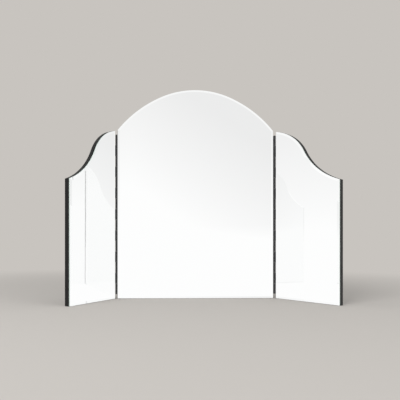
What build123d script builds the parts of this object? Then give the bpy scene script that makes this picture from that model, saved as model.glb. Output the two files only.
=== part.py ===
"""Three-panel dressing table mirror: an arched centre panel and two folding wings on continuous hinges."""
import os
from math import cos, radians, sin

from build123d import *

os.makedirs("parts", exist_ok=True)

# Centre panel, seen from the front: straight sides under an arch struck from three centres
centre_width = 405.0
side_height = 435.0
apex_height = 540.0
crown_radius = 223.0
crown_half_angle = 23.3

# Wings: the top falls from the hinge edge to the outer edge in an S-curve of two arcs
wing_width = 161.5
wing_inner_height = 432.0
wing_outer_height = 286.0
ogee_start_slope = 14.5
ogee_turn_out = 76.0
ogee_turn_height = 368.0
wing_angle = 54.0

# Every panel is a black board with a bevelled glass held on by foam tape
board_thickness = 12.0
board_edge_break = 0.6
glass_thickness = 4.0
glass_inset = 0.6
bevel_width = 5.0
bevel_depth = 1.2
tape_thickness = 1.0
tape_width = 25.0
tape_end_margin = 30.0
centre_tape_reach = 150.0
centre_tape_rows = 4
wing_tape_outs = (42.0, 112.0)
wing_tape_lengths = (345.0, 235.0)

# Continuous hinges: knuckles between the glass edges, leaves on the edges of the boards
knuckle_radius = 2.4
knuckle_rows = 15
knuckle_gap = 0.3
axis_lead = 0.8
hinge_bottom = 12.0
hinge_length = 410.0
leaf_thickness = 1.0
leaf_width = 16.8
leaf_corner = 1.0
pin_clearance = 0.05
notch_clearance = 0.4

# Countersunk screws, in the hinge leaves and in the hanger plates
screw_radius = 1.5
screw_head_radius = 2.5
screw_clearance = 0.1
screw_tip = 2.5
screw_slot = 0.7
screw_slot_depth = 0.9
leaf_screw_length = 14.0
leaf_screw_rows = 7
leaf_screw_margin = 18.0
plate_screw_length = 9.0

# Keyhole plates let into the back of the centre board, and soft buttons that keep the back off the wall
hanger_out = 130.0
hanger_height = 395.0
plate_length = 60.0
plate_width = 20.0
plate_thickness = 1.5
plate_clearance = 0.2
plate_screw_out = 24.0
keyhole_entry_radius = 4.5
keyhole_slot_width = 4.6
keyhole_rise = 11.0
head_room_width = 13.0
head_room_depth = 6.5
button_radius = 6.0
button_thickness = 1.5
button_margin = 12.0

# Depths are measured forwards from the hinge axes, so every panel plane passes through an axis
glass_face = -axis_lead
glass_back = glass_face - glass_thickness
board_face = glass_back - tape_thickness
board_back = board_face - board_thickness
board_middle = board_face - board_thickness / 2
axis_x = centre_width / 2 + knuckle_radius
axis_y = board_middle
knuckle_pitch = hinge_length / knuckle_rows
pin_radius = knuckle_radius - leaf_thickness - pin_clearance

sides = {"right": 1, "left": -1}
upright = Plane(origin=(0, axis_y, 0), x_dir=(1, 0, 0), z_dir=(0, -1, 0))
rear = Plane(origin=(0, axis_y - board_back, 0), x_dir=(-1, 0, 0), z_dir=(0, 1, 0))


def wing_upright(hand):
    """The wing's own upright plane through its hinge axis, facing the same way as its glass."""
    turn = radians(wing_angle)
    return Plane(
        origin=(hand * axis_x, axis_y, 0),
        x_dir=(cos(turn), -hand * sin(turn), 0),
        z_dir=(-hand * sin(turn), -cos(turn), 0),
    )


def level(panel, height):
    """The horizontal plane across a panel at a height, with its y towards the panel's back."""
    return Plane(origin=panel.origin + panel.y_dir * height, x_dir=panel.x_dir, z_dir=(0, 0, 1))


def centre_shape():
    """Outline of the centre panel."""
    shoulder_x = crown_radius * sin(radians(crown_half_angle))
    shoulder_z = apex_height - crown_radius * (1 - cos(radians(crown_half_angle)))
    with BuildSketch() as shape:
        with BuildLine():
            crown = ThreePointArc((-shoulder_x, shoulder_z), (0, apex_height), (shoulder_x, shoulder_z))
            right = TangentArc(crown @ 1, (centre_width / 2, side_height), tangent=crown % 1)
            left = TangentArc(crown @ 0, (-centre_width / 2, side_height), tangent=-(crown % 0))
            Polyline(right @ 1, (centre_width / 2, 0), (-centre_width / 2, 0), left @ 1)
        make_face()
    return shape.sketch


def wing_shape(hand):
    """Outline of a wing, measured outwards from its hinge axis."""
    inner, outer = knuckle_radius, knuckle_radius + wing_width
    slope = radians(ogee_start_slope)
    with BuildSketch() as shape:
        with BuildLine():
            swell = TangentArc(
                (hand * inner, wing_inner_height),
                (hand * (inner + ogee_turn_out), ogee_turn_height),
                tangent=(hand * cos(slope), -sin(slope)),
            )
            hollow = TangentArc(swell @ 1, (hand * outer, wing_outer_height), tangent=swell % 1)
            Polyline(hollow @ 1, (hand * outer, 0), (hand * inner, 0), swell @ 0)
        make_face()
    return shape.sketch


def screw(length):
    """A countersunk screw under its seat's origin, with a crossed recess and a pointed end."""
    cone = screw_head_radius - screw_radius
    with BuildPart() as body:
        with BuildSketch(Plane.XZ):
            with BuildLine():
                Polyline(
                    (0, 0),
                    (screw_head_radius, 0),
                    (screw_radius, -cone),
                    (screw_radius, screw_tip - length),
                    (0, -length),
                    close=True,
                )
            make_face()
        revolve(axis=Axis.Z)
        with BuildSketch():
            Rectangle(2 * screw_radius, screw_slot)
            Rectangle(screw_slot, 2 * screw_radius)
        extrude(amount=-screw_slot_depth, mode=Mode.SUBTRACT)
    return body.part


def leaf_seats(panel, toward):
    """Screw seats on a leaf's open face, where toward is the side of the axis that the board is on."""
    step = (hinge_length - 2 * leaf_screw_margin) / (leaf_screw_rows - 1)
    heights = [hinge_bottom + leaf_screw_margin + step * row for row in range(leaf_screw_rows)]
    face = toward * (knuckle_radius - leaf_thickness)
    return [
        Plane(
            origin=panel.from_local_coords((face, height, board_middle)),
            x_dir=panel.y_dir,
            z_dir=-toward * panel.x_dir,
        )
        for height in heights
    ]


def hinge_leaf(panel, toward, first_knuckle):
    """One leaf of a continuous hinge with every second knuckle, bored for the pin and drilled for screws."""
    plate_x = toward * (knuckle_radius - leaf_thickness / 2)
    notch = knuckle_radius + notch_clearance
    with BuildPart() as leaf:
        with BuildSketch(level(panel, hinge_bottom)):
            with Locations((plate_x, (notch + leaf_width) / 2)):
                Rectangle(leaf_thickness, leaf_width - notch)
        extrude(amount=hinge_length)
        across = leaf.edges().filter_by(Axis(panel.origin, panel.x_dir))
        free_corners = across.sort_by(Axis(panel.origin, -panel.z_dir))[-2:]
        fillet(free_corners, leaf_corner)
        for row in range(first_knuckle, knuckle_rows, 2):
            with BuildSketch(level(panel, hinge_bottom + row * knuckle_pitch + knuckle_gap / 2)):
                Circle(knuckle_radius)
                with Locations((plate_x, (notch + leaf_thickness) / 2)):
                    Rectangle(leaf_thickness, notch + leaf_thickness)
                Circle(pin_radius + pin_clearance, mode=Mode.SUBTRACT)
            extrude(amount=knuckle_pitch - knuckle_gap)
        with Locations(*leaf_seats(panel, toward)):
            CounterSinkHole(screw_radius + screw_clearance, screw_head_radius + screw_clearance)
    return leaf.part


def leaf_screws(panel, toward):
    """The row of screws through one leaf."""
    body = screw(leaf_screw_length)
    with BuildPart() as screws:
        with Locations(*leaf_seats(panel, toward)):
            add(body)
    return screws.part


def panel_glass(panel, shape):
    """A mirror glass whose front slopes down to a thinner edge all round."""
    with BuildPart() as glass:
        with BuildSketch(panel.offset(glass_back)):
            add(shape)
            offset(amount=-glass_inset, kind=Kind.INTERSECTION)
        extrude(amount=glass_thickness - bevel_depth)
        with BuildSketch(panel.offset(glass_face - bevel_depth)):
            add(shape)
            offset(amount=-glass_inset, kind=Kind.INTERSECTION)
        with BuildSketch(panel.offset(glass_face)):
            add(shape)
            offset(amount=-glass_inset - bevel_width, kind=Kind.INTERSECTION)
        loft(ruled=True)
    return glass.part


def panel_tapes(panel, spots, lengths):
    """Upright strips of foam tape between a board and its glass, each from the tape margin upwards."""
    with BuildPart() as tapes:
        with BuildSketch(panel.offset(board_face)):
            for spot, length in zip(spots, lengths):
                with Locations((spot, tape_end_margin + length / 2)):
                    Rectangle(tape_width, length)
        extrude(amount=tape_thickness)
    return tapes.part


def back_buttons(plane, spots):
    """Round buttons on a panel's back."""
    with BuildPart() as buttons:
        with BuildSketch(plane):
            with Locations(*spots):
                Circle(button_radius)
        extrude(amount=button_thickness)
    return buttons.part


def finish(piece, name):
    """Labels a piece and writes it to its own file."""
    piece.label = name
    export_step(piece, f"parts/{name}.step")


# Where the hinges and the hanger plates sit
edges = {side: Plane(origin=(hand * axis_x, axis_y, 0), x_dir=(1, 0, 0), z_dir=(0, -1, 0))
         for side, hand in sides.items()}
plate_spots = [(-hanger_out, hanger_height), (hanger_out, hanger_height)]
entry_drop = keyhole_rise / 2
plate_seats = [
    Plane(origin=rear.from_local_coords((x, z + end * plate_screw_out, 0)), x_dir=(1, 0, 0), z_dir=rear.z_dir)
    for x, z in plate_spots
    for end in (-1, 1)
]

# Centre panel
with BuildPart() as centre_board:
    with BuildSketch(upright.offset(board_back)):
        add(centre_shape())
    extrude(amount=board_thickness)
    chamfer(centre_board.faces().sort_by(Axis.Y)[-1].edges(), board_edge_break)
    with BuildSketch(rear):
        with Locations(*plate_spots):
            SlotOverall(plate_length + 2 * plate_clearance, plate_width + 2 * plate_clearance, rotation=90)
    extrude(amount=-plate_thickness, mode=Mode.SUBTRACT)
    with BuildSketch(rear.offset(-plate_thickness)):
        with Locations(*plate_spots):
            SlotCenterToCenter(keyhole_rise, head_room_width, rotation=90)
    extrude(amount=-head_room_depth, mode=Mode.SUBTRACT)
    with Locations(*plate_seats):
        Hole(screw_radius + screw_clearance, plate_screw_length + screw_clearance)
    for side, hand in sides.items():
        with Locations(*leaf_seats(edges[side], -hand)):
            Hole(screw_radius + screw_clearance, leaf_screw_length + screw_clearance)
finish(centre_board.part, "centre_board")

finish(panel_glass(upright, centre_shape()), "centre_glass")

tape_step = 2 * centre_tape_reach / (centre_tape_rows - 1)
centre_tape_spots = [tape_step * row - centre_tape_reach for row in range(centre_tape_rows)]
centre_tape_length = side_height - 2 * tape_end_margin
finish(panel_tapes(upright, centre_tape_spots, [centre_tape_length] * centre_tape_rows), "centre_tape")

# Keyhole plates
with BuildPart() as keyhole_plates:
    with BuildSketch(rear.offset(-plate_thickness)):
        with Locations(*plate_spots):
            SlotOverall(plate_length, plate_width, rotation=90)
            SlotCenterToCenter(keyhole_rise, keyhole_slot_width, rotation=90, mode=Mode.SUBTRACT)
        with Locations(*[(x, z - entry_drop) for x, z in plate_spots]):
            Circle(keyhole_entry_radius, mode=Mode.SUBTRACT)
    extrude(amount=plate_thickness)
    with Locations(*plate_seats):
        CounterSinkHole(screw_radius + screw_clearance, screw_head_radius + screw_clearance)
finish(keyhole_plates.part, "keyhole_plates")

with BuildPart() as plate_screws:
    with Locations(*plate_seats):
        add(screw(plate_screw_length))
finish(plate_screws.part, "keyhole_plate_screws")

button_x = centre_width / 2 - button_margin - button_radius
button_low = button_margin + button_radius
button_high = side_height - button_low
finish(
    back_buttons(rear, [(x, z) for x in (-button_x, button_x) for z in (button_low, button_high)]),
    "centre_back_buttons",
)

# Hinges and wings, right and left
for side, hand in sides.items():
    wing = wing_upright(hand)
    edge = edges[side]

    finish(hinge_leaf(edge, -hand, 0), f"{side}_hinge_fixed_leaf")
    finish(leaf_screws(edge, -hand), f"{side}_fixed_leaf_screws")
    finish(hinge_leaf(wing, hand, 1), f"{side}_hinge_wing_leaf")
    finish(leaf_screws(wing, hand), f"{side}_wing_leaf_screws")

    with BuildPart() as hinge_pin:
        with BuildSketch(level(edge, hinge_bottom)):
            Circle(pin_radius)
        extrude(amount=hinge_length)
    finish(hinge_pin.part, f"{side}_hinge_pin")

    with BuildPart() as wing_board:
        with BuildSketch(wing.offset(board_back)):
            add(wing_shape(hand))
        extrude(amount=board_thickness)
        back = wing_board.faces().filter_by(wing).sort_by(Axis(wing.origin, wing.z_dir))[0]
        chamfer(back.edges(), board_edge_break)
        with Locations(*leaf_seats(wing, hand)):
            Hole(screw_radius + screw_clearance, leaf_screw_length + screw_clearance)
    finish(wing_board.part, f"{side}_wing_board")

    finish(panel_glass(wing, wing_shape(hand)), f"{side}_wing_glass")

    spots = [hand * (knuckle_radius + out) for out in wing_tape_outs]
    finish(panel_tapes(wing, spots, wing_tape_lengths), f"{side}_wing_tape")

    outer_x = hand * (knuckle_radius + wing_width - button_margin - button_radius)
    wing_button_high = wing_outer_height - button_low
    wing_rear = Plane(origin=wing.offset(board_back).origin, x_dir=-wing.x_dir, z_dir=-wing.z_dir)
    finish(
        back_buttons(wing_rear, [(-outer_x, button_low), (-outer_x, wing_button_high)]),
        f"{side}_wing_back_buttons",
    )
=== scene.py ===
# %% [markdown]
# # A folding dressing table mirror
#
# The mirror has an arched centre panel and two wings whose tops fall in an S-curve. Its boards,
# glasses and hinges come from the measured model. This lesson gives them their finishes, adds the
# parts whose detail is easier to make here, and lights them.

# %% Load the measured model
from math import cos, radians, sin, tau

import bmesh
import bpy
from mathutils import Matrix, Vector


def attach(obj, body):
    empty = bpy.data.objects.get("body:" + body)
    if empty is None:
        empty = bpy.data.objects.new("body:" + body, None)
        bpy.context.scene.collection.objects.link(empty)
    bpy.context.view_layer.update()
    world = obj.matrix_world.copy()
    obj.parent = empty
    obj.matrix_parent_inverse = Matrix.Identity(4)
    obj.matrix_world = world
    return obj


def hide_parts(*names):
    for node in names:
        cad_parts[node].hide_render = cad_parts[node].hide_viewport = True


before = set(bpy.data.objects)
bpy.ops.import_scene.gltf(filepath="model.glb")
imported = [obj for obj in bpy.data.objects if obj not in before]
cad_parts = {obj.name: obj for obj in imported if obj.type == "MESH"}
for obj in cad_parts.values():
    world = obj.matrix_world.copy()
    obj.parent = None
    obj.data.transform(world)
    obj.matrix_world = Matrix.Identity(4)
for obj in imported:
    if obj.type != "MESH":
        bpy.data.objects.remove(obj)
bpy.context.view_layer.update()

mm = 0.001
scene = bpy.context.scene
scene.view_settings.view_transform = "Standard"

# %% [markdown]
# ## Camera
#
# The upright edges of all the panels stay parallel in the picture, so the camera looks level. It
# stands to the left of the mirror and low, and a shifted lens brings the mirror back to the middle.
# Tilting the camera instead would make the uprights lean together.

# %% Place the camera
camera_place = Vector((-163.8, -977.8, 129.5)) * mm
camera_turn = radians(-1.16)
frame_px = 400
lens_px = 374.84
middle_px = (140.0, 248.4)
sensor_mm = 36

camera_data = bpy.data.cameras.new("camera")
camera = bpy.data.objects.new("camera", camera_data)
scene.collection.objects.link(camera)
camera.location = camera_place
camera.rotation_euler = (radians(90), 0, camera_turn)
camera_data.sensor_width = sensor_mm
camera_data.lens = sensor_mm * lens_px / frame_px
camera_data.shift_x = (frame_px / 2 - middle_px[0]) / frame_px
camera_data.shift_y = (middle_px[1] - frame_px / 2) / frame_px
scene.camera = camera
print("lens", round(camera_data.lens, 2), "shift", round(camera_data.shift_x, 3), round(camera_data.shift_y, 3))

# %% [markdown]
# ## A workbench for nodes
#
# Finishes and Geometry Nodes are both trees of nodes, and each step of a tree is the same: add a
# node, set its options, and feed its sockets with a value or with another node's output. A small
# workbench holds one tree and takes these steps, so that the later cells read like the tree itself.

# %% Set up the workbench
class Bench:
    """A node tree with the tools that add nodes to it and give back their outputs."""

    def __init__(self, tree, inputs=(), outputs=()):
        self.tree = tree
        for label, kind, value in inputs:
            socket = tree.interface.new_socket(label, in_out="INPUT", socket_type=f"NodeSocket{kind}")
            if value is not None:
                socket.default_value = value
        for label, kind in outputs:
            tree.interface.new_socket(label, in_out="OUTPUT", socket_type=f"NodeSocket{kind}")
        if outputs:
            self.given = self.add("NodeGroupInput").outputs
            self.result = self.add("NodeGroupOutput").inputs

    def add(self, kind, feeds=None, **options):
        """A new node, with its options set and its sockets fed with values or outputs."""
        node = self.tree.nodes.new(kind)
        for name, value in options.items():
            setattr(node, name, value)
        for key, value in (feeds or {}).items():
            for item in value if isinstance(value, list) else [value]:
                if isinstance(item, bpy.types.NodeSocket):
                    self.tree.links.new(item, node.inputs[key])
                else:
                    node.inputs[key].default_value = item
        return node

    def put(self, kind, feeds=None, **options):
        """The first output of a new node."""
        return self.add(kind, feeds, **options).outputs[0]

    def calc(self, operation, *values):
        """The output of a Math node."""
        return self.put("ShaderNodeMath", dict(enumerate(values)), operation=operation)

    def remap(self, value, low, high, new_low=0.0, new_high=1.0, **options):
        """A value carried from one range to another and kept inside it."""
        feeds = {"Value": value, "From Min": low, "From Max": high, "To Min": new_low, "To Max": new_high}
        return self.put("ShaderNodeMapRange", feeds, **options)

    def blend(self, factor, low, high):
        """A colour between two others."""
        return self.add("ShaderNodeMix", {0: factor, 6: low, 7: high}, data_type="RGBA").outputs[2]

    def vector(self, x=0.0, y=0.0, z=0.0):
        """A vector put together from numbers or outputs."""
        return self.put("ShaderNodeCombineXYZ", {0: x, 1: y, 2: z})

    def end(self, **outputs):
        """Feeds the outputs of a group."""
        for label, value in outputs.items():
            self.tree.links.new(value, self.result[label])


# %% [markdown]
# ## Floor and background
#
# The mirror stands on a plain floor of a warm grey. Close to the mirror the floor is a matt surface
# that keeps the shadow. Further out it fades into the colour of the background, so that no horizon
# line crosses the picture behind the mirror. Reflections pass through the floor, because the
# glasses take all that they show from the room below.

# %% Lay the floor
warm_grey = (0.578, 0.552, 0.521, 1)
floor_half = 6.0
matt_within, plain_beyond = 0.45, 1.6


def reflected(bench):
    """1 for a ray that comes by way of a glass or a clear piece, and 0 for any other."""
    rays = bench.add("ShaderNodeLightPath").outputs
    return bench.calc("MAXIMUM", rays["Is Glossy Ray"], rays["Is Transmission Ray"])


corners = [(x * floor_half, y * floor_half, 0) for x, y in ((-1, -1), (1, -1), (1, 1), (-1, 1))]
floor_mesh = bpy.data.meshes.new("floor")
floor_mesh.from_pydata(corners, [], [(0, 1, 2, 3)])
floor = bpy.data.objects.new("floor", floor_mesh)
scene.collection.objects.link(floor)

floor_finish = bpy.data.materials.new("floor_finish")
floor_finish.use_nodes = True
floor_finish.node_tree.nodes.clear()
bench = Bench(floor_finish.node_tree)
place = bench.add("ShaderNodeTexCoord").outputs["Object"]
distance = bench.add("ShaderNodeVectorMath", {0: place}, operation="LENGTH").outputs["Value"]
fade = bench.remap(distance, matt_within, plain_beyond, interpolation_type="SMOOTHSTEP")
matt = bench.put("ShaderNodeBsdfDiffuse", {"Color": warm_grey})
plain = bench.put("ShaderNodeEmission", {"Color": warm_grey})
seen = bench.put("ShaderNodeMixShader", {0: fade, 1: matt, 2: plain})
open_floor = bench.put("ShaderNodeBsdfTransparent")
both = bench.put("ShaderNodeMixShader", {0: reflected(bench), 1: seen, 2: open_floor})
bench.add("ShaderNodeOutputMaterial", {"Surface": both})
floor_mesh.materials.append(floor_finish)
print("floor", floor_half * 2, "m across")

# %% [markdown]
# The background is one plain colour for the camera. Reflections see a white room that is a little
# greyer high up, most of all on the right, and comes close to the floor's grey straight below. That
# gives the glasses their soft change of tone. The light that falls on matt surfaces is a third,
# weaker value.

# %% Set the background
upper_tone = 0.85
upper_grey_from, upper_grey_full = 0.2, 0.56
height_share, left_share = 1.2, -0.15
behind_share, before_share = 3.5, -0.85
eye_low, eye_high = -0.04, 0.06
floor_grey_from, floor_grey_full, floor_grey_most = -0.2, -0.8, 0.8
matt_light = 0.6

world = bpy.data.worlds.new("room")
scene.world = world
world.use_nodes = True
world.node_tree.nodes.clear()
bench = Bench(world.node_tree)
heading = bench.add("ShaderNodeTexCoord").outputs["Generated"]
right, away, up = bench.add("ShaderNodeSeparateXYZ", {0: heading}).outputs
above_eye = bench.remap(up, eye_low, eye_high)
corner = bench.calc("MULTIPLY", bench.calc("MAXIMUM", right, 0.0), away)
corner = bench.calc("MULTIPLY", corner, above_eye)
sideways = bench.calc("MULTIPLY", right, left_share)
for share in (behind_share, before_share):
    sideways = bench.calc("MAXIMUM", sideways, bench.calc("MULTIPLY", corner, share))
greyness = bench.calc("MULTIPLY_ADD", up, height_share, sideways)
tone = bench.remap(greyness, upper_grey_from, upper_grey_full, 1.0, upper_tone)
below = bench.remap(up, floor_grey_from, floor_grey_full, 0.0, floor_grey_most)
room = bench.put("ShaderNodeBackground", {"Color": bench.blend(below, tone, warm_grey), "Strength": 1.0})
filling = bench.put("ShaderNodeBackground", {"Color": (1, 1, 1, 1), "Strength": matt_light})
behind = bench.put("ShaderNodeBackground", {"Color": warm_grey, "Strength": 1.0})
straight = bench.add("ShaderNodeLightPath").outputs["Is Camera Ray"]
direct = bench.put("ShaderNodeMixShader", {0: straight, 1: filling, 2: behind})
both = bench.put("ShaderNodeMixShader", {0: reflected(bench), 1: direct, 2: room})
bench.add("ShaderNodeOutputWorld", {"Surface": both})
print("room tones from 1 down to", upper_tone, "above and", warm_grey[:3], "below")

# %% [markdown]
# ## Lamps
#
# A large soft lamp at the upper left is the main light, as in a studio, and a weaker one on the
# right opens the shadows. The glasses would show the lamps as bright squares, so both are hidden
# from reflections.

# %% Hang the lamps
lamp_aim = Vector((0, 0, 0.2))
lamps = [
    {"name": "main_lamp", "place": (-1.3, -1.5, 1.7), "size": 1.1, "watts": 26},
    {"name": "side_lamp", "place": (1.5, -1.2, 1.0), "size": 1.2, "watts": 8},
]
for wanted in lamps:
    lamp_data = bpy.data.lights.new(wanted["name"], "AREA")
    lamp_data.size = wanted["size"]
    lamp_data.energy = wanted["watts"]
    lamp = bpy.data.objects.new(wanted["name"], lamp_data)
    scene.collection.objects.link(lamp)
    lamp.location = wanted["place"]
    lamp.rotation_euler = (lamp_aim - Vector(wanted["place"])).to_track_quat("-Z", "Y").to_euler()
    lamp.visible_glossy = False
    print(lamp.name, wanted["watts"], "W")

# %% [markdown]
# ## Effects that several finishes share
#
# Paint and coated steel are never quite even. The first group gives a fine grain, for the height of
# a surface and for small changes of its colour. It reads Object coordinates, so a pattern has the
# same real size on every piece, and its numbers are in metres.

# %% Build the grain group
def shader_group(name, inputs, outputs):
    """A workbench for a new shader group with named sockets."""
    return Bench(bpy.data.node_groups.new(name, "ShaderNodeTree"), inputs, outputs)


grain_low, grain_high = 0.3, 0.7

grain_group = shader_group(
    "fine_grain",
    [
        ("Size", "Float", 0.001),
        ("Stretch", "Vector", (1, 1, 1)),
        ("Low", "Color", (0, 0, 0, 1)),
        ("High", "Color", (1, 1, 1, 1)),
    ],
    [("Color", "Color"), ("Height", "Float")],
)
given = grain_group.given
place = grain_group.add("ShaderNodeTexCoord").outputs["Object"]
drawn = grain_group.put("ShaderNodeVectorMath", {0: place, 1: given["Stretch"]}, operation="MULTIPLY")
finer = grain_group.calc("DIVIDE", 1.0, given["Size"])
noise = grain_group.put("ShaderNodeTexNoise", {"Vector": drawn, "Scale": finer, "Detail": 4.0, "Roughness": 0.6})
tone = grain_group.remap(noise, grain_low, grain_high)
grain_group.end(Color=grain_group.blend(tone, given["Low"], given["High"]), Height=noise)
print("group", grain_group.tree.name)

# %% [markdown]
# The second group gives the marks of handling, as cloudy patches crossed by thin hair scratches.
# Both come from noise. The one for the hairs is squeezed along one direction and cut off high, so
# that only narrow lines of it stay.

# %% Build the marks group
patch_low, patch_high, patch_weight = 0.42, 0.72, 0.7
hair_low, hair_high = 0.69, 0.73
hair_turn = (0.5, 0.3, 0.9)
hair_squeeze = (1.0, 1.0, 0.06)
hairs_in_scratch = 12.0

marks_group = shader_group(
    "handling_marks",
    [
        ("Patch Size", "Float", 0.05),
        ("Clean", "Float", 0.3),
        ("Marked", "Float", 0.5),
        ("Scratch Size", "Float", 0.02),
    ],
    [("Roughness", "Float"), ("Mask", "Float")],
)
given = marks_group.given
place = marks_group.add("ShaderNodeTexCoord").outputs["Object"]
coarse = marks_group.calc("DIVIDE", 1.0, given["Patch Size"])
patches = marks_group.put("ShaderNodeTexNoise", {"Vector": place, "Scale": coarse, "Detail": 3.0, "Distortion": 0.4})
cloud = marks_group.calc("MULTIPLY", marks_group.remap(patches, patch_low, patch_high), patch_weight)
bent = marks_group.put("ShaderNodeMapping", {"Vector": place, "Rotation": hair_turn, "Scale": hair_squeeze})
thin = marks_group.calc("DIVIDE", hairs_in_scratch, given["Scratch Size"])
hairs = marks_group.put("ShaderNodeTexNoise", {"Vector": bent, "Scale": thin, "Detail": 1.0})
mask = marks_group.calc("MAXIMUM", cloud, marks_group.remap(hairs, hair_low, hair_high))
spread = marks_group.remap(mask, 0.0, 1.0, given["Clean"], given["Marked"])
marks_group.end(Roughness=spread, Mask=mask)
print("group", marks_group.tree.name)

# %% [markdown]
# A finish is a material whose Principled shader holds the plain numbers, while the groups feed it
# what changes over the surface. Most finishes of this mirror take a grain for colour and height and
# marks for roughness, so one helper sets them up, and each finish gives its own sizes and tones.

# %% Make a grained finish
def new_finish(name, **settings):
    """A new material, its workbench and its shader, with plain numbers on the shader's sockets."""
    material = bpy.data.materials.new(name)
    material.use_nodes = True
    shader = material.node_tree.nodes["Principled BSDF"]
    for label, value in settings.items():
        shader.inputs[label.replace("_", " ")].default_value = value
    return material, Bench(material.node_tree), shader


def grained_finish(name, low, high, size, relief, rough, stretch=(1, 1, 1), patch=0.05, **settings):
    """A finish with grain in its colour and height and handling marks in its roughness."""
    material, bench, shader = new_finish(name, **settings)
    grain_feeds = {"Size": size, "Stretch": stretch, "Low": (*low, 1), "High": (*high, 1)}
    grain = bench.add("ShaderNodeGroup", grain_feeds, node_tree=grain_group.tree).outputs
    marks_feeds = {"Patch Size": patch, "Clean": rough[0], "Marked": rough[1]}
    marks = bench.add("ShaderNodeGroup", marks_feeds, node_tree=marks_group.tree).outputs
    bump = bench.add("ShaderNodeBump", {"Height": grain["Height"], "Strength": 1.0, "Distance": relief})
    bench.tree.links.new(grain["Color"], shader.inputs["Base Color"])
    bench.tree.links.new(marks["Roughness"], shader.inputs["Roughness"])
    bench.tree.links.new(bump.outputs["Normal"], shader.inputs["Normal"])
    return material

# %% [markdown]
# ## Finishes
#
# The boards are fibreboard under matt black paint. The faces are smooth, with the stipple of a
# sprayed coat. The cut edges drink the paint, so their fibres show as short level streaks and they
# stay a little rougher. The rubbed corner all round the back is a shade lighter.

# %% Black paint
paint_face = grained_finish(
    "black_paint_face", low=(0.012, 0.012, 0.0115), high=(0.019, 0.019, 0.018),
    size=0.0011, relief=0.00003, rough=(0.45, 0.62), Specular_IOR_Level=0.3,
)
paint_edge = grained_finish(
    "black_paint_edge", low=(0.007, 0.007, 0.0068), high=(0.015, 0.015, 0.0145),
    size=0.0016, relief=0.00006, rough=(0.55, 0.75), stretch=(1, 1, 2.5), patch=0.02, Specular_IOR_Level=0.2,
)
paint_rubbed = grained_finish(
    "black_paint_rubbed", low=(0.02, 0.02, 0.019), high=(0.05, 0.048, 0.045),
    size=0.0008, relief=0.00002, rough=(0.4, 0.6), patch=0.01, Specular_IOR_Level=0.3,
)
print("paints", paint_face.name, paint_edge.name, paint_rubbed.name)

# %% [markdown]
# The hinges are steel under a thin satin black coat, and the screws are blackened steel. Coating
# has a finer and shallower grain than paint on board, and it shines a little more. The keyhole
# plates are zinc plated, with the faint level lines of rolled sheet. The pin is bare steel.

# %% Metals
coated_steel = grained_finish(
    "black_coated_steel", low=(0.025, 0.025, 0.026), high=(0.045, 0.045, 0.047),
    size=0.0005, relief=0.000012, rough=(0.3, 0.46), patch=0.008, Metallic=0.55,
)
black_screw = grained_finish(
    "blackened_screw_steel", low=(0.05, 0.05, 0.052), high=(0.09, 0.09, 0.092),
    size=0.0003, relief=0.000008, rough=(0.26, 0.4), patch=0.003, Metallic=0.85,
)
zinc = grained_finish(
    "zinc_plate", low=(0.5, 0.51, 0.53), high=(0.66, 0.67, 0.69),
    size=0.0009, relief=0.00001, rough=(0.28, 0.42), stretch=(0.12, 1, 1), patch=0.012, Metallic=1.0,
)
pin_steel = grained_finish(
    "hinge_pin_steel", low=(0.3, 0.3, 0.3), high=(0.42, 0.42, 0.42),
    size=0.0004, relief=0.000006, rough=(0.3, 0.4), patch=0.004, Metallic=1.0,
)
print("metals", coated_steel.name, black_screw.name, zinc.name, pin_steel.name)

# %% [markdown]
# Foam tape is soft and open, with cells that show as a coarse pitted grain. The buttons on the back
# are clear soft plastic, which passes some light and is a little cloudy inside.

# %% Foam and clear plastic
foam = grained_finish(
    "black_foam_tape", low=(0.035, 0.035, 0.035), high=(0.095, 0.095, 0.095),
    size=0.0006, relief=0.00015, rough=(0.8, 0.95), patch=0.01,
)
clear_plastic = grained_finish(
    "clear_soft_plastic", low=(0.72, 0.73, 0.72), high=(0.82, 0.825, 0.82),
    size=0.0015, relief=0.00002, rough=(0.1, 0.22), patch=0.004, Transmission_Weight=0.7, IOR=1.48,
)
print("soft finishes", foam.name, clear_plastic.name)

# %% [markdown]
# The glass is silvered on its back. From the front it works as one smooth metal surface, with a
# trace of green from the glass and faint marks from a cloth. The ground edge behind the bevel is
# pale green and a little frosted. The back carries grey paint that guards the silver.
#
# The bevel slopes, but the silver behind it doesn't. Light bends in at the slope, meets the flat
# silver and bends out again, so the bevel works like a mirror that leans the other way, inwards, by
# about half its slope. That is why it doesn't show the hinge next to it. Its bright line along the
# outline comes partly from that lean and partly from a painted highlight, as the bevel's tint is a
# little brighter than the flat front's. A third group works out that leaning direction.

# %% Build the bevel group
bevel_group = shader_group(
    "silver_behind_bevel", [("Front", "Vector", (0, -1, 0)), ("Bend", "Float", 0.52)], [("Normal", "Vector")]
)
given = bevel_group.given
bevel_slope = bevel_group.add("ShaderNodeNewGeometry").outputs["Normal"]
flat = bevel_group.put(
    "ShaderNodeVectorTransform", {0: given["Front"]}, vector_type="NORMAL", convert_from="OBJECT", convert_to="WORLD"
)
apart = bevel_group.put("ShaderNodeVectorMath", {0: flat, 1: bevel_slope}, operation="SUBTRACT")
lean = bevel_group.put("ShaderNodeVectorMath", {0: apart, "Scale": given["Bend"]}, operation="SCALE")
bent = bevel_group.put("ShaderNodeVectorMath", {0: flat, 1: lean}, operation="ADD")
bevel_group.end(Normal=bevel_group.put("ShaderNodeVectorMath", {0: bent}, operation="NORMALIZE"))
print("group", bevel_group.tree.name)

# %% [markdown]
# Each panel faces its own way, and the bevel needs that direction. So there is one finish for all
# the flat fronts and one for the bevel of each panel.

# %% Silvered glass
wing_turn = 54.0
wing_sideways, wing_forward = sin(radians(wing_turn)), -cos(radians(wing_turn))
fronts = {
    "centre": Vector((0, -1, 0)),
    "left_wing": Vector((wing_sideways, wing_forward, 0)),
    "right_wing": Vector((-wing_sideways, wing_forward, 0)),
}


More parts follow.
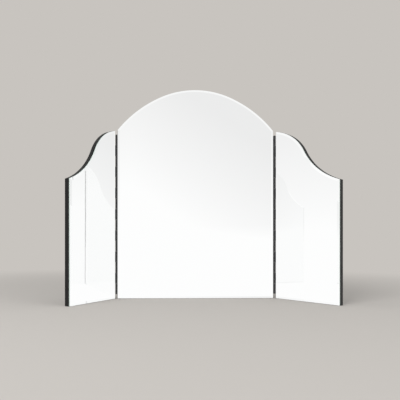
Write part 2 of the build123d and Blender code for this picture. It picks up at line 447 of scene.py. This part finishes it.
def mirror_finish(name, tint, rough, front=None):
    """Silvered glass with faint wiping marks, and a pane's slight waves or the lean of its bevel."""
    material, bench, shader = new_finish(name, Base_Color=(*tint, 1), Metallic=1.0)
    marks_feeds = {"Patch Size": 0.09, "Clean": rough[0], "Marked": rough[1], "Scratch Size": 0.05}
    marks = bench.add("ShaderNodeGroup", marks_feeds, node_tree=marks_group.tree)
    bench.tree.links.new(marks.outputs["Roughness"], shader.inputs["Roughness"])
    if front:
        normal = bench.add("ShaderNodeGroup", {"Front": front}, node_tree=bevel_group.tree)
    else:
        waves = bench.add("ShaderNodeGroup", {"Size": 0.12}, node_tree=grain_group.tree)
        normal = bench.add("ShaderNodeBump", {"Height": waves.outputs["Height"], "Distance": 0.00004})
    bench.tree.links.new(normal.outputs["Normal"], shader.inputs["Normal"])
    return material


mirror_front = mirror_finish("mirror_front", tint=(0.984, 0.987, 0.986), rough=(0.0, 0.03))
# The bevel tint is a little brighter than the front's, a painted highlight that adds to the bevel's bright line.
mirror_bevels = {
    panel: mirror_finish(f"mirror_bevel_{panel}", tint=(0.988, 0.993, 0.99), rough=(0.02, 0.06), front=front)
    for panel, front in fronts.items()
}
glass_edge = grained_finish(
    "ground_glass_edge", low=(0.64, 0.74, 0.7), high=(0.75, 0.83, 0.79),
    size=0.0012, relief=0.00001, rough=(0.2, 0.35), patch=0.01,
)
backing_paint = grained_finish(
    "grey_backing_paint", low=(0.2, 0.205, 0.21), high=(0.26, 0.265, 0.27),
    size=0.001, relief=0.00002, rough=(0.45, 0.6),
)
print("glass", mirror_front.name, *(bevel.name for bevel in mirror_bevels.values()))

# %% [markdown]
# ## Finish the measured pieces
#
# Boards and glasses keep the shapes of the model, which already have the bevels, holes and curves.
# Their faces only need sorting. A face knows its own direction, so its lean towards the panel's
# front says what it is. The lean is 1 for the front, less on the bevel or a corner, about 0 for an
# edge and -1 for the back.

# %% Give each face its finish
def sort_faces(node, front, classes):
    """Gives each face of a node the first finish whose least lean towards the front it reaches."""
    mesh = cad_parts[node].data
    mesh.materials.clear()
    for finish, least in classes:
        mesh.materials.append(finish)
    for face in mesh.polygons:
        towards = face.normal.dot(front)
        face.material_index = next(i for i, (finish, least) in enumerate(classes) if towards >= least)


square_on, any_lean = 0.999, -1.1
for panel, front in fronts.items():
    sort_faces(f"{panel}_glass", front, [
        (mirror_front, square_on), (mirror_bevels[panel], 0.5), (glass_edge, -0.5), (backing_paint, any_lean),
    ])
    sort_faces(f"{panel}_board", front, [
        (paint_face, square_on), (paint_edge, -0.3), (paint_rubbed, -0.95), (paint_face, any_lean),
    ])

for node, finish in (("keyhole_plates", zinc), ("left_hinge_pin", pin_steel), ("right_hinge_pin", pin_steel)):
    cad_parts[node].data.materials.clear()
    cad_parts[node].data.materials.append(finish)
print("sorted", ", ".join(f"{panel}_glass and {panel}_board" for panel in fronts))

# %% [markdown]
# ## Geometry Nodes for what repeats
#
# The mirror has 32 screws, 30 hinge knuckles, 8 buttons and 8 strips of tape. Each kind follows a
# rule, so one tree of Geometry Nodes makes it from named sizes in millimetres. The first helper
# ends a tree. The second runs a tree on a throwaway object, keeps the result as a plain mesh, and
# sets it in its place.

# %% Run a tree and keep its mesh
def geometry_tree(name, inputs):
    """A workbench for a Geometry Nodes tree with named inputs, which puts out one geometry."""
    tree = bpy.data.node_groups.new(name, "GeometryNodeTree")
    return Bench(tree, [("Start", "Geometry", None), *inputs], [("Geometry", "Geometry")])


def finish_tree(bench, geometry):
    """Ends a tree with real geometry that has its finish."""
    real = bench.put("GeometryNodeRealizeInstances", {0: geometry})
    painted = bench.put("GeometryNodeSetMaterial", {"Geometry": real, "Material": bench.given["Finish"]})
    bench.end(Geometry=painted)
    print(bench.tree.name, "tree has", len(bench.tree.nodes), "nodes")


def grow(name, bench, place, sizes, outline=()):
    """Runs a tree from an outline and returns its mesh in metres at a place given in millimetres."""
    start = bpy.data.meshes.new(name)
    start.from_pydata(outline, [(i, i + 1) for i in range(len(outline) - 1)], [])
    host = bpy.data.objects.new(name, start)
    scene.collection.objects.link(host)
    modifier = host.modifiers.new("grow", "NODES")
    modifier.node_group = bench.tree
    for item in bench.tree.interface.items_tree:
        if item.in_out == "INPUT" and item.name in sizes:
            modifier[item.identifier] = sizes[item.name]
    shown = host.evaluated_get(bpy.context.evaluated_depsgraph_get())
    mesh = bpy.data.meshes.new_from_object(shown)
    bpy.data.objects.remove(host)
    mesh.transform(Matrix.Scale(mm, 4) @ place)
    return mesh

# %% [markdown]
# A piece is one or more of these meshes joined, with a body to ride on and the node of the model
# that it replaces. A mirrored place turns a shape inside out, so the outward directions are worked
# out again here.

# %% Join meshes into a piece
def make_piece(name, meshes, body, replaced, smooth_degrees=30):
    """Joins meshes into one piece that stands for a CAD node and rides on its body."""
    shape = bmesh.new()
    finishes = []
    for mesh in meshes:
        first = len(shape.faces)
        shape.from_mesh(mesh)
        shape.faces.ensure_lookup_table()
        for face in shape.faces[first:]:
            finish = mesh.materials[face.material_index]
            if finish not in finishes:
                finishes.append(finish)
            face.material_index = finishes.index(finish)
    bmesh.ops.recalc_face_normals(shape, faces=shape.faces)
    joined = bpy.data.meshes.new(name)
    shape.to_mesh(joined)
    shape.free()
    for finish in finishes:
        joined.materials.append(finish)
    joined.shade_smooth()
    joined.set_sharp_from_angle(angle=radians(smooth_degrees))
    piece = bpy.data.objects.new(name, joined)
    scene.collection.objects.link(piece)
    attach(piece, body)
    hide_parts(replaced)
    low = [min(v.co[axis] for v in joined.vertices) / mm for axis in range(3)]
    high = [max(v.co[axis] for v in joined.vertices) / mm for axis in range(3)]
    print(name, len(joined.polygons), "faces", [f"{a:.1f} to {b:.1f}" for a, b in zip(low, high)])

# %% [markdown]
# ## Where the hinges are
#
# Each wing turns about the middle of its hinge. A panel's own frame has X along the panel away from
# the middle of the mirror, Y towards its back and Z up. The pieces of a hinge are made once in such
# a frame, with the board on the +X side, and then set in place for each of the four leaves.

# %% Set up the panel frames
axis_x = 204.9
axis_y = -11.8
hands = {"left": -1, "right": 1}


def panel_frame(hand, turn, toward):
    """A frame on a hinge axis, with X towards the leaf's board and Y towards the panel's back."""
    turn = radians(turn)
    along = Vector((cos(turn), -hand * sin(turn), 0)) * toward
    back = Vector((hand * sin(turn), cos(turn), 0))
    directions = Matrix((along, back, Vector((0, 0, 1)))).transposed().to_4x4()
    return Matrix.Translation((hand * axis_x, axis_y, 0)) @ directions


leaf_frames = {
    (side, kind): panel_frame(hand, turn, toward)
    for side, hand in hands.items()
    for kind, turn, toward in (("fixed", 0.0, -hand), ("wing", wing_turn, hand))
}
centre_frame = Matrix.Translation((0, axis_y, 0))
print("leaf frames", sorted(leaf_frames))

# %% [markdown]
# ## Hinge leaves
#
# A continuous hinge leaf is one long strip of sheet. Tabs along its edge are rolled round the pin,
# and the tabs of the two leaves alternate. The model has plain tubes there. A rolled tab is a
# curve, so the tree joins a straight run and most of a circle into one path, sweeps the sheet's
# section along it, and repeats the tab up the hinge. The end of the roll stops just short of the
# leaf, which leaves the narrow seam of a real knuckle.

# %% Roll the tabs of a leaf
knuckle_radius = 2.4
sheet = 1.0
hinge_bottom = 12.0
hinge_length = 410.0
hinge_knuckles = 15
fixed_knuckles = 8
holes_per_leaf = 7
hole_margin = 18.0
hole_across = 11.8
roll_start, roll_sweep = radians(62), radians(298)
tab_corner = 0.15
weld = 0.001

leaf_tree = geometry_tree("rolled_leaf", [
    ("Knuckle Radius", "Float", knuckle_radius), ("Sheet", "Float", sheet),
    ("Pitch", "Float", round(hinge_length / hinge_knuckles, 4)), ("Knuckle Gap", "Float", 0.3),
    ("Knuckles", "Int", fixed_knuckles), ("First Row", "Float", 0.0),
    ("Bottom", "Float", hinge_bottom), ("Length", "Float", hinge_length),
    ("Notch", "Float", 2.8), ("Width", "Float", 16.8), ("Corner", "Float", 1.0),
    ("Holes", "Int", holes_per_leaf), ("Hole Margin", "Float", hole_margin),
    ("Hole Across", "Float", hole_across), ("Hole Radius", "Float", 2.6), ("Finish", "Material", None),
])
given = leaf_tree.given
middle = leaf_tree.calc("SUBTRACT", given["Knuckle Radius"], leaf_tree.calc("MULTIPLY", given["Sheet"], 0.5))
roll = leaf_tree.put("GeometryNodeCurveArc", {
    "Resolution": 30, "Radius": middle, "Start Angle": roll_start, "Sweep Angle": roll_sweep,
})
run = leaf_tree.put("GeometryNodeCurvePrimitiveLine", {
    "Start": leaf_tree.vector(middle), "End": leaf_tree.vector(middle, given["Notch"]),
})
lines = [leaf_tree.put("GeometryNodeCurveToMesh", {0: curve}) for curve in (roll, run)]
path = leaf_tree.put("GeometryNodeJoinGeometry", {0: lines})
path = leaf_tree.put("GeometryNodeMergeByDistance", {"Geometry": path, "Distance": weld})
path = leaf_tree.put("GeometryNodeMeshToCurve", {0: path})
path = leaf_tree.put("GeometryNodeSetCurveNormal", {"Curve": path}, mode="Z_UP")
tab_height = leaf_tree.calc("SUBTRACT", given["Pitch"], given["Knuckle Gap"])
section = leaf_tree.put("GeometryNodeCurvePrimitiveQuadrilateral", {"Width": given["Sheet"], "Height": tab_height})
section = leaf_tree.put("GeometryNodeFilletCurve", {"Curve": section, "Count": 2, "Radius": tab_corner}, mode="POLY")
tab = leaf_tree.put("GeometryNodeCurveToMesh", {"Curve": path, "Profile Curve": section, "Fill Caps": True})

first_middle = leaf_tree.calc("ADD", given["First Row"], 0.5)
tab_low = leaf_tree.calc("MULTIPLY_ADD", first_middle, given["Pitch"], given["Bottom"])
tab_step = leaf_tree.calc("MULTIPLY", given["Pitch"], 2.0)
spots = leaf_tree.put("GeometryNodeMeshLine", {
    "Count": given["Knuckles"],
    "Start Location": leaf_tree.vector(0, 0, tab_low),
    "Offset": leaf_tree.vector(0, 0, tab_step),
})
tabs = leaf_tree.put("GeometryNodeInstanceOnPoints", {"Points": spots, "Instance": tab})

# %% [markdown]
# The strip itself is a filled outline with rounded corners and screw holes, given its thickness. It
# is drawn lying flat round its own middle, then stood up beside the tabs.

# %% Cut the strip of a leaf
strip_width = leaf_tree.calc("SUBTRACT", given["Width"], given["Notch"])
strip_middle = leaf_tree.calc("MULTIPLY", leaf_tree.calc("ADD", given["Width"], given["Notch"]), 0.5)
half_length = leaf_tree.calc("MULTIPLY", given["Length"], 0.5)
border = leaf_tree.put("GeometryNodeCurvePrimitiveQuadrilateral", {"Width": strip_width, "Height": given["Length"]})
border = leaf_tree.put("GeometryNodeFilletCurve", {"Curve": border, "Count": 4, "Radius": given["Corner"]}, mode="POLY")

hole = leaf_tree.put("GeometryNodeCurvePrimitiveCircle", {"Resolution": 24, "Radius": given["Hole Radius"]})
hole_low = leaf_tree.calc("SUBTRACT", given["Hole Margin"], half_length)
hole_span = leaf_tree.calc("MULTIPLY", hole_low, -2.0)
hole_step = leaf_tree.calc("DIVIDE", hole_span, leaf_tree.calc("SUBTRACT", given["Holes"], 1.0))
hole_from_middle = leaf_tree.calc("SUBTRACT", given["Hole Across"], strip_middle)
spots = leaf_tree.put("GeometryNodeMeshLine", {
    "Count": given["Holes"],
    "Start Location": leaf_tree.vector(hole_from_middle, hole_low),
    "Offset": leaf_tree.vector(0, hole_step),
})
holes = leaf_tree.put("GeometryNodeInstanceOnPoints", {"Points": spots, "Instance": hole})
holes = leaf_tree.put("GeometryNodeRealizeInstances", {0: holes})

flat = leaf_tree.put("GeometryNodeJoinGeometry", {0: [border, holes]})
flat = leaf_tree.put("GeometryNodeFillCurve", {0: flat})
thick = leaf_tree.put("GeometryNodeExtrudeMesh", {"Mesh": flat, "Offset Scale": given["Sheet"], "Individual": False})
strip = leaf_tree.put("GeometryNodeJoinGeometry", {0: [thick, flat]})
strip = leaf_tree.put("GeometryNodeMergeByDistance", {"Geometry": strip, "Distance": weld})
strip_inside = leaf_tree.calc("SUBTRACT", given["Knuckle Radius"], given["Sheet"])
strip_height = leaf_tree.calc("ADD", given["Bottom"], half_length)
strip = leaf_tree.put("GeometryNodeTransform", {
    "Geometry": strip,
    "Translation": leaf_tree.vector(strip_inside, strip_middle, strip_height),
    "Rotation": (radians(90), 0, radians(90)),
})
finish_tree(leaf_tree, leaf_tree.put("GeometryNodeJoinGeometry", {0: [tabs, strip]}))

# %% [markdown]
# The same tree makes all four leaves. The fixed leaf of each hinge has the first, third and every
# later odd knuckle, and the wing leaf has the ones between.

# %% Make the four leaves
def leaf_body(side, kind):
    """The body that a leaf and its screws ride on."""
    return "centre" if kind == "fixed" else f"{side}_wing"


for (side, kind), place in leaf_frames.items():
    first_row = 0 if kind == "fixed" else 1
    sizes = {"Knuckles": fixed_knuckles - first_row, "First Row": float(first_row), "Finish": coated_steel}
    leaf = grow("leaf", leaf_tree, place, sizes)
    make_piece(f"{side}_{kind}_leaf_rolled", [leaf], leaf_body(side, kind), f"{side}_hinge_{kind}_leaf")

# %% [markdown]
# ## Screws
#
# A screw and a button are both round about their own axis. The tree takes half of the outline, as
# points with their distance from the axis and their height, and turns it on a circle. It cuts the
# crossed recess with two tapered blades.

# %% Turn an outline and cut its recess
thread_pitch = 1.3
turned_tree = geometry_tree("turned_row", [
    ("Segments", "Int", 28), ("Count", "Int", 1), ("Spacing", "Float", 1.0),
    ("Recess Across", "Float", 0.0), ("Recess Slot", "Float", 0.7), ("Recess Depth", "Float", 0.9),
    ("Thread Radius", "Float", 1.2), ("Thread Top", "Float", -2.0), ("Thread Turns", "Float", 0.0),
    ("Thread Pitch", "Float", thread_pitch), ("Seed", "Int", 3), ("Finish", "Material", None),
])
given = turned_tree.given
reach = 20.0
blade_corner, blade_taper, blade_extra = 0.7071, 0.55, 1.1
wheel = turned_tree.put("GeometryNodeCurvePrimitiveCircle", {"Resolution": given["Segments"], "Radius": reach})
wheel = turned_tree.put("GeometryNodeSetCurveNormal", {"Curve": wheel}, mode="Z_UP")
half = turned_tree.put("GeometryNodeTransform", {
    "Geometry": given["Start"], "Translation": (-reach, 0, 0), "Scale": (1, -1, 1),
})
half = turned_tree.put("GeometryNodeMeshToCurve", {0: half})
turned = turned_tree.put("GeometryNodeCurveToMesh", {"Curve": wheel, "Profile Curve": half})
turned = turned_tree.put("GeometryNodeMergeByDistance", {"Geometry": turned, "Distance": 2 * weld})

blade_radius = turned_tree.calc("MULTIPLY", given["Recess Across"], blade_corner)
blade = turned_tree.put("GeometryNodeMeshCone", {
    "Vertices": 4,
    "Radius Top": blade_radius,
    "Radius Bottom": turned_tree.calc("MULTIPLY", blade_radius, blade_taper),
    "Depth": turned_tree.calc("MULTIPLY", given["Recess Depth"], blade_extra),
})
blade = turned_tree.put("GeometryNodeTransform", {"Geometry": blade, "Rotation": (0, 0, radians(45))})
recess_across = turned_tree.calc("MAXIMUM", given["Recess Across"], 0.01)
narrow = turned_tree.vector(1.0, turned_tree.calc("DIVIDE", given["Recess Slot"], recess_across), 1.0)
sunk = turned_tree.vector(0, 0, turned_tree.calc("MULTIPLY", given["Recess Depth"], -1.0))
blade = turned_tree.put("GeometryNodeTransform", {"Geometry": blade, "Translation": sunk, "Scale": narrow})
crossed = turned_tree.put("GeometryNodeTransform", {"Geometry": blade, "Rotation": (0, 0, radians(90))})
cut = turned_tree.put(
    "GeometryNodeMeshBoolean", {"Mesh 1": turned, "Mesh 2": [blade, crossed]}, operation="DIFFERENCE", solver="EXACT"
)
has_recess = turned_tree.calc("GREATER_THAN", given["Recess Across"], 0.0)
shank = turned_tree.put(
    "GeometryNodeSwitch", {"Switch": has_recess, "False": turned, "True": cut}, input_type="GEOMETRY"
)

# %% [markdown]
# The thread is a three-sided section wound along a helix. The tree then repeats the whole piece in
# a row. Each one is turned by a random amount from a fixed seed, because screws never stop at the
# same angle.

# %% Wind the thread and set the row
ridge_radius = 0.28
height = turned_tree.calc("MULTIPLY", given["Thread Turns"], given["Thread Pitch"])
helix = turned_tree.put("GeometryNodeCurveSpiral", {
    "Resolution": 12, "Rotations": given["Thread Turns"],
    "Start Radius": given["Thread Radius"], "End Radius": given["Thread Radius"], "Height": height,
})
ridge = turned_tree.put("GeometryNodeCurvePrimitiveCircle", {"Resolution": 3, "Radius": ridge_radius})
thread = turned_tree.put("GeometryNodeCurveToMesh", {"Curve": helix, "Profile Curve": ridge, "Fill Caps": True})
thread_low = turned_tree.vector(0, 0, turned_tree.calc("SUBTRACT", given["Thread Top"], height))
thread = turned_tree.put("GeometryNodeTransform", {"Geometry": thread, "Translation": thread_low})
has_thread = turned_tree.calc("GREATER_THAN", given["Thread Turns"], 0.0)
thread = turned_tree.put("GeometryNodeSwitch", {"Switch": has_thread, "True": thread}, input_type="GEOMETRY")

whole = turned_tree.put("GeometryNodeJoinGeometry", {0: [shank, thread]})
spots = turned_tree.put("GeometryNodeMeshLine", {
    "Count": given["Count"], "Offset": turned_tree.vector(given["Spacing"]),
})
chance = turned_tree.add("FunctionNodeRandomValue", {"Max": tau, "Seed": given["Seed"]}, data_type="FLOAT").outputs[1]
row = turned_tree.put("GeometryNodeInstanceOnPoints", {
    "Points": spots, "Instance": whole, "Rotation": turned_tree.vector(0, 0, chance),
})
finish_tree(turned_tree, row)

# %% [markdown]
# The outline of a screw runs from the middle of its head to its point. The head sits flush in the
# sheet, and the thread stops short of both ends. A row climbs the leaf or the plate that it holds,
# so it needs a frame with X up and Z outwards.

# %% Make the screws
def row_place(base, origin, outward):
    """A row's frame, with X up the row and Z outwards, from a point and a direction in the base frame."""
    up, out = Vector((0, 0, 1)), Vector(outward)
    return base @ Matrix.Translation(origin) @ Matrix((up, out.cross(up), out)).transposed().to_4x4()


def screw_outline(length, head=2.5, neck=1.45, core=1.15, point=2.5):
    """Half of a countersunk screw's outline, as distance from the axis and height."""
    return [
        (0, 0, 0), (1.6, 0, 0), (2.35, 0, 0), (head, -0.08, 0),
        (neck, -1.0, 0), (core, -1.5, 0), (core, point - length, 0), (0, -length, 0),
    ]


def screw_row(place, count, spacing, length, seed, bare=4.5):
    """A row of screws, with threads that leave some of their length bare."""
    sizes = {
        "Count": count, "Spacing": spacing, "Recess Across": 2.9, "Thread Turns": (length - bare) / thread_pitch,
        "Thread Top": -2.2, "Seed": seed, "Finish": black_screw,
    }
    return grow("row", turned_tree, place, sizes, screw_outline(length))


to_back, off_edge = (0, 1, 0), (-1, 0, 0)
hole_spacing = (hinge_length - 2 * hole_margin) / (holes_per_leaf - 1)
first_hole = (knuckle_radius - sheet, hole_across, hinge_bottom + hole_margin)
for number, ((side, kind), place) in enumerate(leaf_frames.items()):
    row = screw_row(row_place(place, first_hole, off_edge), holes_per_leaf, hole_spacing, length=14.0, seed=number)
    name = f"{side}_{kind}_leaf_screw"
    make_piece(f"{name}_row", [row], leaf_body(side, kind), f"{name}s")

back_depth = 17.8
plate_x = 130.0
plate_screw_low = 371.0
plate_screw_spacing = 48.0
rows = []
for seed, x in ((7, -plate_x), (8, plate_x)):
    place = row_place(centre_frame, (x, back_depth, plate_screw_low), to_back)
    rows.append(screw_row(place, 2, plate_screw_spacing, length=9.0, seed=seed))
make_piece("plate_screw_rows", rows, "centre", "keyhole_plate_screws")

# %% [markdown]
# ## Buttons
#
# The soft buttons keep the back from rubbing on what is behind it. They are moulded as low domes
# with a small rounded rim, so the same turned row makes them from another outline, with no recess
# and no thread.

# %% Make the buttons
button_outline = [
    (0, 1.5, 0), (1.6, 1.46, 0), (3.1, 1.32, 0), (4.3, 1.1, 0), (5.2, 0.8, 0),
    (5.75, 0.45, 0), (6.0, 0.12, 0), (5.9, 0, 0), (0, 0, 0),
]
button_low = 18.0
centre_button_x, centre_button_spacing = 184.5, 399.0
wing_button_x, wing_button_spacing = 145.9, 250.0
dome_degrees = 40


def button_row(base, x, spacing):
    """Two buttons, one above the other."""
    place = row_place(base, (x, back_depth, button_low), to_back)
    sizes = {"Segments": 40, "Count": 2, "Spacing": spacing, "Finish": clear_plastic}
    return grow("buttons", turned_tree, place, sizes, button_outline)


rows = [button_row(centre_frame, x, centre_button_spacing) for x in (-centre_button_x, centre_button_x)]
make_piece("centre_domed_buttons", rows, "centre", "centre_back_buttons", dome_degrees)
for side in hands:
    wing = f"{side}_wing"
    row = button_row(leaf_frames[side, "wing"], wing_button_x, wing_button_spacing)
    make_piece(f"{wing}_domed_buttons", [row], wing, f"{wing}_back_buttons", dome_degrees)

# %% [markdown]
# ## Foam tape
#
# Strips of soft foam hold each glass to its board. Cut by hand and pressed, their long edges wander
# a little and bulge. The tree sweeps a rounded section up a line that is cut into short lengths,
# and noise moves the points sideways.

# %% Build the tape tree
tape_tree = geometry_tree("foam_strip", [
    ("Width", "Float", 25.0), ("Thickness", "Float", 1.0), ("Length", "Float", 375.0),
    ("Wander", "Float", 0.5), ("Finish", "Material", None),
])
given = tape_tree.given
line = tape_tree.put("GeometryNodeCurvePrimitiveLine", {"End": tape_tree.vector(0, 0, given["Length"])})
line = tape_tree.put("GeometryNodeResampleCurve", {"Curve": line, "Count": 90})
section = tape_tree.put("GeometryNodeCurvePrimitiveQuadrilateral", {
    "Width": given["Width"], "Height": given["Thickness"],
})
rounded = tape_tree.calc("MULTIPLY", given["Thickness"], 0.45)
section = tape_tree.put("GeometryNodeFilletCurve", {"Curve": section, "Count": 4, "Radius": rounded}, mode="POLY")
strip = tape_tree.put("GeometryNodeCurveToMesh", {"Curve": line, "Profile Curve": section, "Fill Caps": True})
noise = tape_tree.put("ShaderNodeTexNoise", {"Scale": 0.12, "Detail": 2.0})
shift = tape_tree.calc("MULTIPLY", tape_tree.calc("SUBTRACT", noise, 0.5), given["Wander"])
strip = tape_tree.put("GeometryNodeSetPosition", {"Geometry": strip, "Offset": tape_tree.vector(shift)})
finish_tree(tape_tree, strip)

# %% [markdown]
# Four long strips hold the centre glass. Each wing glass has a long strip near the hinge and a
# short one further out, where the top of the wing is lower.

# %% Make the strips
tape_depth = 5.3
tape_low = 30.0
centre_strips = {-150: 375.0, -50: 375.0, 50: 375.0, 150: 375.0}
wing_strips = {44.4: 345.0, 114.4: 235.0}


def tape_strips(base, strips):
    """One mesh for each strip of tape on a panel, from its place across the panel and its length."""
    meshes = []
    for x, length in strips.items():
        place = base @ Matrix.Translation((x, tape_depth, tape_low))
        meshes.append(grow("strip", tape_tree, place, {"Length": length, "Finish": foam}))
    return meshes


make_piece("centre_foam_strips", tape_strips(centre_frame, centre_strips), "centre", "centre_tape")
for side in hands:
    wing = f"{side}_wing"
    strips = tape_strips(leaf_frames[side, "wing"], wing_strips)
    make_piece(f"{wing}_foam_strips", strips, wing, f"{wing}_tape")

# %% [markdown]
# ## What the glasses reflect
#
# Seen from the camera, the narrow dark gap between two glasses would cross the left wing's
# reflection as one hard black line, and the real wing shows no such line. So the glasses reflect
# the room and each other, and every other piece is hidden from reflections. The pieces stay as they
# are for the camera and for shadows.

# %% Hide the other pieces from reflections
hidden = [
    item for item in scene.objects
    if item.type == "MESH" and item is not floor and not item.name.endswith("_glass")
]
for item in hidden:
    item.visible_glossy = False
print(len(hidden), "pieces hidden from reflections")
